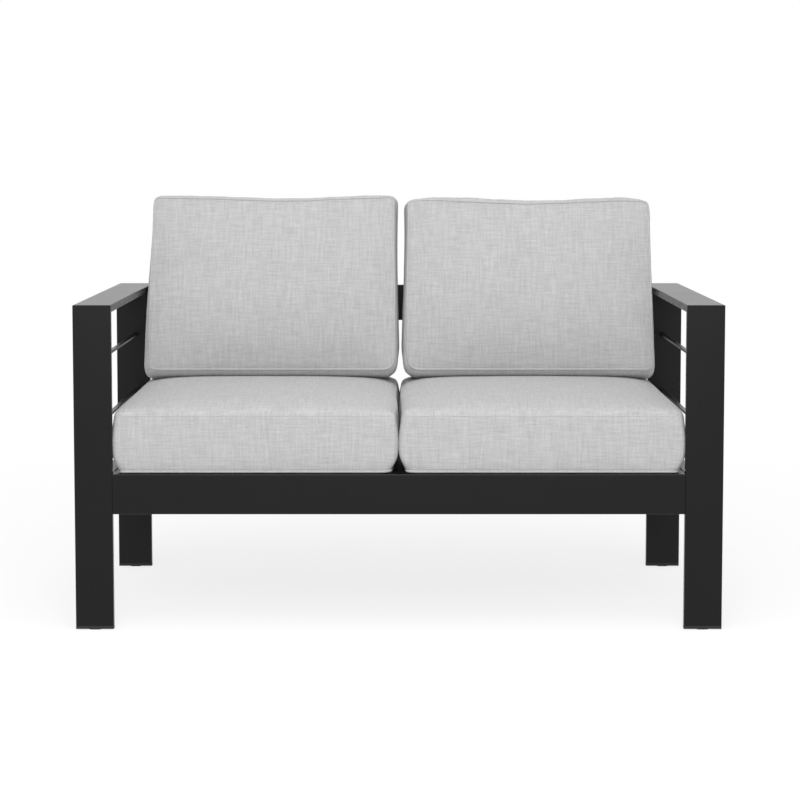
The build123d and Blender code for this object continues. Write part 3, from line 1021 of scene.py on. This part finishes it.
    def seam_path(self, welt: Welt, surface: BVHTree, step: float = 0.006) -> list[Vector]:
        """Find where a seam runs on the cushion's surface.

        Args:
            welt: The seam.
            surface: The cushion's surface.
            step: Distance between the places.

        Returns:
            Places round the seam, a little above or below the surface.
        """
        half_x = self.width / 2 - self.swell
        half_y = self.length / 2
        round_off = self.corner
        path: list[Vector] = []
        for turn in range(4):
            flip_x, flip_y = ((1, -1), (1, 1), (-1, 1), (-1, -1))[turn]
            middle = Vector((flip_x * (half_x - round_off), flip_y * (half_y - round_off), 0))
            begin = -math.pi / 2 + turn * math.pi / 2
            arc = [begin + eighth * math.pi / 8 for eighth in range(5)]
            corner_points = [middle + Vector((math.cos(a), math.sin(a), 0)) * round_off for a in arc]
            if path:
                path += self.run_between(path[-1], corner_points[0], step)
            path += corner_points
        path += self.run_between(path[-1], path[0], step)
        found = []
        for point in path:
            place = Vector((point.x, point.y, welt.height))
            line = welt.top_line or self.end_line
            dropped = smoothstep(place.y, SEAM_DROP_START, half_y)
            place.y -= blend_along(line, place.x / self.width + 0.5) * dropped
            place.y += self.foot_rise(place)
            place.x -= self.corner_slide(point) * 2 * place.x / self.width
            on_surface, normal, _, _ = surface.find_nearest(place)
            found.append(on_surface + normal * (welt.radius - welt.sink))
        return found

    @staticmethod
    def run_between(start: Vector, end: Vector, step: float) -> list[Vector]:
        """Evenly spaced places between two others, without its ends."""
        count = max(int((end - start).length / step), 1)
        return [start.lerp(end, index / count) for index in range(1, count)]

    def hold_seams(self, piece: bpy.types.Object) -> None:
        """Weight the places near the seams, so that the simulation holds them."""
        surface = surface_of(piece)
        near = near_path([point for welt in self.welts for point in self.seam_path(welt, surface)])
        group = piece.vertex_groups.new(name=HELD_SEAMS)
        for vert in piece.data.vertices:
            weight = SEAM_HOLD * (1 - smoothstep(near(vert.co), *HOLD_REACH)) + FREE_HOLD
            group.add([vert.index], weight, "REPLACE")

    def fill(self, piece: bpy.types.Object) -> None:
        """Add the cloth simulation that fills the cover."""
        piece.data.update()
        for vert, normal in zip(piece.data.vertices, [v.normal.copy() for v in piece.data.vertices]):
            vert.co -= normal * self.start_inset
        cloth = piece.modifiers.new("filled cover", "CLOTH")
        settings = cloth.settings
        settings.quality = 5
        settings.mass = 0.3
        settings.tension_stiffness = settings.compression_stiffness = 12.0
        settings.shear_stiffness = 6.0
        settings.bending_stiffness = 0.6
        settings.use_pressure = True
        settings.uniform_pressure_force = self.pressure
        settings.effector_weights.gravity = 0.0
        settings.vertex_group_mass = HELD_SEAMS
        settings.pin_stiffness = 1.0
        cloth.collision_settings.use_collision = False
        cloth.point_cache.frame_start = 1
        cloth.point_cache.frame_end = SIMULATED_FRAMES

    def settle(self, piece: bpy.types.Object, start: list[Vector]) -> None:
        """Cap the travel, and keep the cushion inside the room that its CAD solid has.

        Args:
            piece: The cushion after the simulation.
            start: Where its vertices were before.
        """
        for vert, before in zip(piece.data.vertices, start):
            move = vert.co - before
            if move.length > self.travel:
                vert.co = before + move.normalized() * self.travel
        room = self.room()
        self.stretch_to(piece, room, start)
        envelope = BVHTree.FromBMesh(room)
        room.free()
        for vert in piece.data.vertices:
            on_wall, normal, _, _ = envelope.find_nearest(vert.co)
            outside = (vert.co - on_wall).dot(normal) + self.hold_back
            if outside > -WALL_REACH:
                kept = -WALL_SOFTNESS * math.log1p(math.exp(-outside / WALL_SOFTNESS))
                vert.co = vert.co - normal * (outside - kept)

    def stretch_to(self, piece: bpy.types.Object, room: bmesh.types.BMesh, start: list[Vector]) -> None:
        """Stretch the filled cushion on each axis, so that its seams come to the edges of its room.

        Args:
            piece: The cushion after the simulation.
            room: The room that it keeps to.
            start: Where its vertices were before.
        """
        inset = self.start_inset
        for axis in range(3):
            before = [place[axis] for place in start]
            wanted = [vert.co[axis] for vert in room.verts]
            low, high = min(before) + inset, max(before) - inset
            foot = min(wanted)
            scale = (max(wanted) - foot) / (high - low)
            for vert in piece.data.vertices:
                vert.co[axis] = foot + (vert.co[axis] - low) * scale

    def room(self) -> bmesh.types.BMesh:
        """The CAD cover's outer wall in the cushion's shape: the room that the cushion keeps to."""
        shape = self.outer_wall()
        bmesh.ops.triangulate(shape, faces=shape.faces)
        for longest, cuts in ((0.02, 5), (0.012, 3)):
            edges = [edge for edge in shape.edges if edge.calc_length() > longest]
            bmesh.ops.subdivide_edges(shape, edges=edges, cuts=cuts, use_grid_fill=True)
            bmesh.ops.triangulate(shape, faces=shape.faces)
        for vert in shape.verts:
            vert.co = self.shaped(vert.co)
        return shape

    def ease_wrinkles(self, piece: bpy.types.Object) -> None:
        """Add the shallow pulls that a filled cover has beside its seams."""
        surface = surface_of(piece)
        near = near_path([point for welt in self.welts for point in self.seam_path(welt, surface)])
        normals = [vert.normal.copy() for vert in piece.data.vertices]
        shift = Vector((self.seed * 3.7, self.seed * 1.9, self.seed * 5.3))
        for vert, normal in zip(piece.data.vertices, normals):
            distance = near(vert.co)
            beside = smoothstep(distance, *PULL_START) * (1 - smoothstep(distance, *PULL_END))
            pull = noise.noise(vert.co * self.pull_rate + shift) * self.pull_depth * beside
            slack = noise.noise(vert.co * self.slack_rate + shift) * self.slack_depth
            slack *= smoothstep(distance, *SLACK_START)
            vert.co -= normal * (self.draw_depth * beside + abs(pull) + max(slack, 0.0))

    def cut_grooves(self, piece: bpy.types.Object) -> None:
        """Press a groove into the cover along each seam."""
        normals = [vert.normal.copy() for vert in piece.data.vertices]
        surface = surface_of(piece)
        for welt in self.welts:
            near = near_path(self.seam_path(welt, surface))
            for vert, normal in zip(piece.data.vertices, normals):
                distance = near(vert.co)
                if distance < GROOVE_REACH:
                    vert.co -= normal * welt.groove * math.exp(-((distance / self.groove_width) ** 2))

    def map_cloth(self, piece: bpy.types.Object) -> None:
        """Lay the cloth map on the piece, in metres, with the yarns along the cushion's sides."""
        mesh = piece.data
        layer = mesh.uv_layers.new(name=CLOTH_MAP)
        shift = CLOTH_SHIFT * self.seed
        for poly in mesh.polygons:
            normal = poly.normal
            for loop in poly.loop_indices:
                co = mesh.vertices[mesh.loops[loop].vertex_index].co
                if abs(normal.z) >= max(abs(normal.x), abs(normal.y)):
                    layer.data[loop].uv = (co.x + shift, co.y)
                elif abs(normal.y) > abs(normal.x):
                    layer.data[loop].uv = (co.x + shift, co.z + END_SHIFT)
                else:
                    layer.data[loop].uv = (co.y + shift, co.z + SIDE_SHIFT)

    def finish_cover(self, piece: bpy.types.Object, start: list[Vector]) -> None:
        """Turn the simulated mesh into the finished cover.

        Args:
            piece: The cushion, with its simulation applied where there was one.
            start: Where its vertices were before.
        """
        self.settle(piece, start)
        finer = piece.modifiers.new("finer", "SUBSURF")
        finer.levels = finer.render_levels = 1
        apply_modifiers(piece)
        self.ease_wrinkles(piece)
        piece.data.update()
        surface = surface_of(piece)
        self.cut_grooves(piece)
        piece.data.update()
        self.map_cloth(piece)
        piece.data.polygons.foreach_set("use_smooth", [True] * len(piece.data.polygons))
        self.keep(piece, COVER_LINEN)
        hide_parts(self.cover_node)
        self.made.append(piece)
        for welt in self.welts:
            if welt.radius > 0:
                self.add_welt(welt, surface)
        self.add_zip(surface)
        self.add_foam()

    def add_welt(self, welt: Welt, surface: BVHTree) -> None:
        """Lay a fabric-covered cord into one seam."""
        path = self.seam_path(welt, surface, 0.005)
        shape = bmesh.new()
        sweep(shape, path, lambda index: welt.radius, 8, closed=True)
        piece = object_from(f"{self.body}_{welt.name}", shape)
        layer = piece.data.uv_layers.new(name=CLOTH_MAP)
        for loop in piece.data.loops:
            co = piece.data.vertices[loop.vertex_index].co
            across = (co.x + co.y) * BIAS_SCALE + BIAS_SHIFT
            layer.data[loop.index].uv = (across, (co.x - co.y + co.z) * BIAS_SCALE)
        self.keep(piece, WELT_LINEN)
        self.made.append(piece)

    def zip_line(self, surface: BVHTree) -> list[Vector]:
        """Find the zip's line along the middle of one end's boxing.

        Args:
            surface: The cushion's surface.

        Returns:
            Places on the surface from one end of the zip to the other.
        """
        end = 1 if self.zip_on_far_end else -1
        height = self.thick * self.zip_levels[self.zip_on_far_end]
        count = int(self.zip_length / self.zip_step)
        line = []
        for index in range(count + 1):
            along = (index / count - 0.5) * self.zip_length
            place = Vector((along, end * (self.length / 2 + self.zip_reach), height))
            place.y -= self.end_drop(place) if end > 0 else 0.0
            line.append(surface.find_nearest(place)[0])
        return line

    def zip_tape(self, line: list[Vector], out: Vector) -> bmesh.types.BMesh:
        """Make the tape from one flat box for each step of the zip's line."""
        shape = bmesh.new()
        for start, finish in zip(line, line[1:]):
            middle = (start + finish) / 2 + out * self.tape_lift
            size = Matrix.Diagonal(((finish - start).length, self.tape_thick, self.tape_width, 1.0))
            bmesh.ops.create_cube(shape, size=1.0, matrix=Matrix.Translation(middle) @ size)
        bmesh.ops.remove_doubles(shape, verts=shape.verts, dist=0.0003)
        return shape

    def coil_path(self, line: list[Vector], out: Vector) -> list[Vector]:
        """Places along the coil, four to each step of the zip's line."""
        count = len(line) - 1
        path = []
        for at in range(count * 4 + 1):
            index = min(at // 4, count - 1)
            path.append(line[index].lerp(line[index + 1], at / 4 - index) + out * self.coil_lift)
        return path

    @staticmethod
    def zip_slider(place: Vector, out: Vector) -> bmesh.types.BMesh:
        """Make the slider with its pull.

        Args:
            place: Middle of the slider, on the coil.
            out: Direction out of the cushion's end.

        Returns:
            A bmesh with both.
        """
        shape = box_shape(place - Vector(SLIDER_HALF), place + Vector(SLIDER_HALF))
        bevel_edges(shape, SLIDER_ROUND, 2)
        pull = box_shape(place + Vector(PULL_LOW), place + Vector(PULL_HIGH))
        bevel_edges(pull, PULL_ROUND, 2)
        bmesh.ops.translate(pull, verts=pull.verts, vec=out * PULL_OUT)
        spare = bpy.data.meshes.new("zip pull")
        pull.to_mesh(spare)
        pull.free()
        shape.from_mesh(spare)
        bpy.data.meshes.remove(spare)
        return shape

    def add_zip(self, surface: BVHTree) -> None:
        """Lay a coil zip along the middle of one end's boxing, with its tape, slider and pull."""
        out = Vector((0, 1 if self.zip_on_far_end else -1, 0))
        line = self.zip_line(surface)
        path = self.coil_path(line, out)
        coil = bmesh.new()
        sweep(coil, path, lambda index: self.coil_radius + self.coil_ripple * (index % 2), 6, closed=False)
        parts = (
            ("tape", self.zip_tape(line, out), False, ZIP_NYLON),
            ("coil", coil, True, ZIP_NYLON),
            ("slider", self.zip_slider(path[SLIDER_PLACE], out), False, ZINC_STEEL),
        )
        for name, shape, smooth, finish in parts:
            piece = object_from(f"{self.body}_zip_{name}", shape, smooth)
            self.keep(piece, finish)
            self.made.append(piece)

    def keep(self, piece: bpy.types.Object, finish: Finish) -> None:
        """Put a finished piece in its place, dress it and fix it to the cushion's body.

        Args:
            piece: The piece, in the cushion's own frame.
            finish: Its finish.
        """
        piece.data.transform(self.place)
        piece.data.materials.clear()
        piece.data.materials.append(finish.material())
        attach(piece, self.body)
        LOG.info("piece %s: %d faces", piece.name, len(piece.data.polygons))

    def add_foam(self) -> None:
        """Build the foam core inside the cover."""
        room = self.foam_room
        low = (-self.width / 2 + self.swell + room, -self.length / 2 + room, room)
        end = self.length / 2 - room - self.foam_set_back
        high = (self.width / 2 - self.swell - room, end, self.thick - room)
        shape = box_shape(low, high)
        bevel_edges(shape, self.foam_round, 3)
        bmesh.ops.subdivide_edges(shape, edges=shape.edges[:], cuts=4, use_grid_fill=True)
        for vert in shape.verts:
            crown = (1 - (2 * vert.co.x / self.width) ** 2) * (1 - (2 * vert.co.y / self.length) ** 2)
            vert.co.z += self.foam_crown * crown * smoothstep(vert.co.z, self.thick * 0.5, self.thick - room)
        piece = object_from(self.foam_node.replace("_foam", "_foam_core"), shape)
        self.keep(piece, CUSHION_FOAM)
        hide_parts(self.foam_node)


def surface_of(piece: bpy.types.Object) -> BVHTree:
    """Search tree of a piece's faces, in its mesh's own frame."""
    places = [vert.co for vert in piece.data.vertices]
    return BVHTree.FromPolygons(places, [poly.vertices[:] for poly in piece.data.polygons])


def near_path(points: list[Vector]) -> Callable[[Vector], float]:
    """Make a function that measures the distance to the nearest of some places.

    Args:
        points: The places.

    Returns:
        A function from a place to a distance.
    """
    tree = KDTree(len(points))
    for index, point in enumerate(points):
        tree.insert(point, index)
    tree.balance()
    return lambda place: tree.find(place)[2]


@dataclass
class CushionSet:
    """All four cushions, filled together and then finished one by one."""

    seat_size: Place = (0.5634, 0.639, 0.113)
    seat_place: Place = (0.2825, -0.0325, 0.3113)
    back_size: Place = (0.547, 0.403, 0.124)
    back_places: tuple[Place, Place] = ((-0.278, 0.278553, 0.628852), (0.287, 0.278553, 0.628852))
    back_lean: float = 12.0
    seat_welts: tuple[Welt, ...] = (
        Welt("top_seam", height=0.1155, sink=0.0014, radius=0.0010, groove=0.0003),
        Welt("bottom_welt", height=0.0, sink=0.0018, radius=0.0029, groove=0.0006),
    )
    back_faces: tuple[tuple[float, ...], tuple[float, ...]] = (
        (0.006, 0.008, 0.010, 0.013, 0.015, 0.015, 0.011, 0.008, 0.005),
        (0.012, 0.013, 0.017, 0.020, 0.022, 0.020, 0.017, 0.014, 0.014),
    )
    back_ends: tuple[tuple[float, ...], tuple[float, ...]] = (
        (-0.001, -0.0008, 0.0005, 0.003, 0.0055, 0.0052, 0.002, -0.001, -0.002),
        (0.0085, 0.003, 0.0035, 0.0075, 0.0105, 0.0095, 0.0055, 0.003, 0.0095),
    )

    def seat(self, side: Side) -> Cushion:
        """Describe one seat cushion, flat on the slats with its front end towards -Y."""
        width, length, thick = self.seat_size
        x, y, z = self.seat_place
        return Cushion(
            body=f"seat_cushion_{side.value}",
            cover_node=f"seat_cushion_cover_{side.value}",
            foam_node=f"seat_cushion_foam_{side.value}",
            place=Matrix.Translation((side.sign * x, y, z)),
            width=width,
            length=length,
            thick=thick,
            swell=0.005,
            corner=0.014,
            welts=self.seat_welts,
            crown=0.024,
            full_crown=0.031,
            rim=0.015,
            rim_reach=0.032,
            fullness=(6.0, 5.0),
            foot_draw=0.0065,
            swell_start=0.012,
            inner_swell_start=-0.010,
            side_growth=side.pick((0.0045, 0.0006), (0.0006, 0.0045)),
            inner_side=-side.sign,
            inner_wave=0.0016,
            inner_gap=0.0026,
            seed=side.pick(1, 2),
        )

    def back(self, side: Side) -> Cushion:
        """Describe one back cushion, leaning back with its face to the front."""
        width, length, thick = self.back_size
        lean = Matrix.Rotation(math.radians(90 - self.back_lean), 4, "X")
        face = side.pick(*self.back_faces)
        front = Welt("front_welt", height=thick, sink=0.0018, radius=0.0020, groove=0.0, top_line=face)
        return Cushion(
            body=f"back_cushion_{side.value}",
            cover_node=f"back_cushion_cover_{side.value}",
            foam_node=f"back_cushion_foam_{side.value}",
            place=Matrix.Translation(side.pick(*self.back_places)) @ lean,
            width=width,
            length=length,
            thick=thick,
            swell=0.005,
            corner=0.012,
            welts=(front, Welt("rear_welt", height=0.0, sink=0.0022, radius=0.0018, groove=0.0006)),
            end_line=side.pick(*self.back_ends),
            full_crown=0.029,
            sag=0.2,
            low_round=0.011,
            fullness=(3.6, 1.8),
            foot_push=(-0.001, 0.0120),
            inner_side=-side.sign,
            low_corner_draw=side.pick((0.0, 0.013), (0.013, 0.0)),
            top_draw=side.pick((0.0145, 0.0045), (0.008, 0.0055)),
            side_growth=side.pick((0.009, 0.004), (0.007, 0.0025)),
            seed=side.pick(3, 4),
            zip_on_far_end=False,
        )

    def make(self) -> None:
        """Build, fill and finish the cushions."""
        cushions = [self.back(side) for side in Side] + [self.seat(side) for side in Side]
        pieces = [cushion.start_mesh() for cushion in cushions]
        starts = [[vert.co.copy() for vert in piece.data.vertices] for piece in pieces]
        for cushion, piece in zip(cushions, pieces):
            cushion.hold_seams(piece)
            cushion.fill(piece)
        for step in range(1, SIMULATED_FRAMES + 1):
            bpy.context.scene.frame_set(step)
        for piece in pieces:
            apply_modifiers(piece)
            piece.vertex_groups.clear()
        bpy.context.scene.frame_set(1)
        LOG.info("cushion covers filled")
        pressed_by: list[bpy.types.Object] = []
        for cushion, piece, start in zip(cushions, pieces, starts):
            cushion.finish_cover(piece, start)
            if cushion.body.startswith("back"):
                pressed_by += cushion.made
            else:
                self.press(piece, pressed_by)

    @staticmethod
    def press(seat: bpy.types.Object, above: list[bpy.types.Object]) -> None:
        """Press the seat cushion in where the back cushion stands on it.

        Args:
            seat: The finished seat cushion.
            above: Pieces of the back cushions.
        """
        room, reach, softness = 0.0007, 0.012, 0.0006
        for piece in above:
            low = min(vert.co.z for vert in piece.data.vertices) - reach
            surface = surface_of(piece)
            for vert in seat.data.vertices:
                if vert.co.z < low:
                    continue
                found, normal, _, _ = surface.find_nearest(vert.co, reach * 2)
                if found is None:
                    continue
                apart = (vert.co - found).dot(normal)
                if apart < room * 4:
                    wanted = room + softness * math.log1p(math.exp((apart - room) / softness))
                    vert.co += normal * (wanted - apart)
        seat.data.update()


@dataclass
class Studio:
    """White floor and surroundings, soft light and the camera."""

    floor_size: float = 30.0
    floor_height: float = -0.0004
    floor_tones: tuple[float, float] = (0.90, 0.94)
    shadow_reach: tuple[float, float] = (0.7, 2.4)
    shadow_white: float = 0.78
    day: float = 0.66
    key_place: Place = (0.0, -1.4, 3.2)
    key_size: float = 2.6
    key_power: float = 46.0
    fill_place: Place = (0.0, -4.2, 1.9)
    fill_size: float = 2.4
    fill_power: float = 62.0
    lamp_target: Place = (0.0, 0.0, 0.4)
    camera_place: Place = (0.0023, -4.480, 0.940)
    camera_pitch: float = 4.509
    lens: float = 95.02
    shift: float = -0.0992

    @staticmethod
    def seen_rays(nodes: Nodes) -> bpy.types.NodeSocket:
        """Share that is 1 for the camera's rays, also in gloss or through what lets light pass."""
        rays = nodes.add("ShaderNodeLightPath").outputs
        seen = nodes.math("ADD", rays["Is Camera Ray"], rays["Is Glossy Ray"], clamp=True)
        return nodes.math("ADD", seen, rays["Is Transmission Ray"], clamp=True)

    def floor_material(self) -> bpy.types.Material:
        """White floor that goes over into the surroundings and keeps the soft shadow."""
        made, nodes = empty_material("white studio floor")
        place = nodes.add("ShaderNodeTexCoord").outputs["Object"]
        reach = nodes.add("ShaderNodeVectorMath", {0: place}, operation="LENGTH").outputs["Value"]
        near, far = self.shadow_reach
        values = {0: reach, 1: near, 2: far, 3: self.shadow_white, 4: 1.0}
        spread = nodes.add("ShaderNodeMapRange", values).outputs[0]
        darker, lighter = self.floor_tones
        speck = nodes.noise(place, 60.0, 3.0, 0.5)
        tone = nodes.between(speck, (darker, darker, darker, 1), (lighter, lighter, lighter, 1))
        matt = nodes.add("ShaderNodeBsdfDiffuse", {"Color": tone, "Roughness": 0.6}).outputs[0]
        white = nodes.add("ShaderNodeEmission", {"Color": (1, 1, 1, 1), "Strength": 1.0}).outputs[0]
        share = nodes.math("MULTIPLY", self.seen_rays(nodes), spread)
        mixed = nodes.add("ShaderNodeMixShader", {0: share, 1: matt, 2: white})
        nodes.add("ShaderNodeOutputMaterial", {"Surface": mixed.outputs[0]})
        return made

    def add_floor(self) -> None:
        """Lay the floor just under the glide pads."""
        shape = bmesh.new()
        place = Matrix.Translation((0, 0, self.floor_height))
        bmesh.ops.create_circle(shape, cap_ends=True, segments=96, radius=self.floor_size / 2, matrix=place)
        floor = object_from("studio_floor", shape)
        floor.data.materials.append(self.floor_material())

    def add_surroundings(self) -> None:
        """Light the object from all round, and show white where the camera and gloss look past it."""
        world = bpy.data.worlds.new("white surroundings")
        bpy.context.scene.world = world
        world.use_nodes = True
        world.node_tree.nodes.clear()
        nodes = Nodes(world.node_tree)
        strength = nodes.ranged(self.seen_rays(nodes), self.day, 1.0)
        light = nodes.add("ShaderNodeBackground", {"Color": (1, 1, 1, 1), "Strength": strength})
        nodes.add("ShaderNodeOutputWorld", {"Surface": light.outputs[0]})

    def add_lamp(self, name: str, place: Place, size: float, power: float) -> None:
        """Hang one soft lamp that points at the loveseat.

        Args:
            name: Name of the lamp.
            place: Where it hangs.
            size: Length of its square side.
            power: Its power in watts.
        """
        lamp = bpy.data.lights.new(name, "AREA")
        lamp.shape = "SQUARE"
        lamp.size = size
        lamp.energy = power
        hung = bpy.data.objects.new(name, lamp)
        hung.location = place
        aim = Vector(self.lamp_target) - Vector(place)
        hung.rotation_euler = aim.to_track_quat("-Z", "Y").to_euler()
        bpy.context.scene.collection.objects.link(hung)

    def add_camera(self) -> None:
        """Set up the photograph's view."""
        data = bpy.data.cameras.new("camera")
        data.sensor_width = 36.0
        data.lens = self.lens
        data.shift_y = self.shift
        data.clip_start, data.clip_end = 0.05, 60.0
        camera = bpy.data.objects.new("camera", data)
        camera.location = self.camera_place
        camera.rotation_euler = (math.radians(90 - self.camera_pitch), 0, 0)
        bpy.context.scene.collection.objects.link(camera)
        bpy.context.scene.camera = camera

    def make(self) -> None:
        """Build the studio."""
        self.add_floor()
        self.add_surroundings()
        self.add_lamp("overhead key", self.key_place, self.key_size, self.key_power)
        self.add_lamp("front fill", self.fill_place, self.fill_size, self.fill_power)
        self.add_camera()
        bpy.context.scene.view_settings.view_transform = "Standard"
        LOG.info("studio ready")


def main() -> None:
    """Build the studio, dress the frame, and make the welds and the cushions."""
    logging.basicConfig(level=logging.INFO, format="%(name)s: %(message)s")
    Studio().make()
    DressedFrame().dress()
    WeldBeads().make()
    CushionSet().make()


if __name__ == "__main__":
    main()
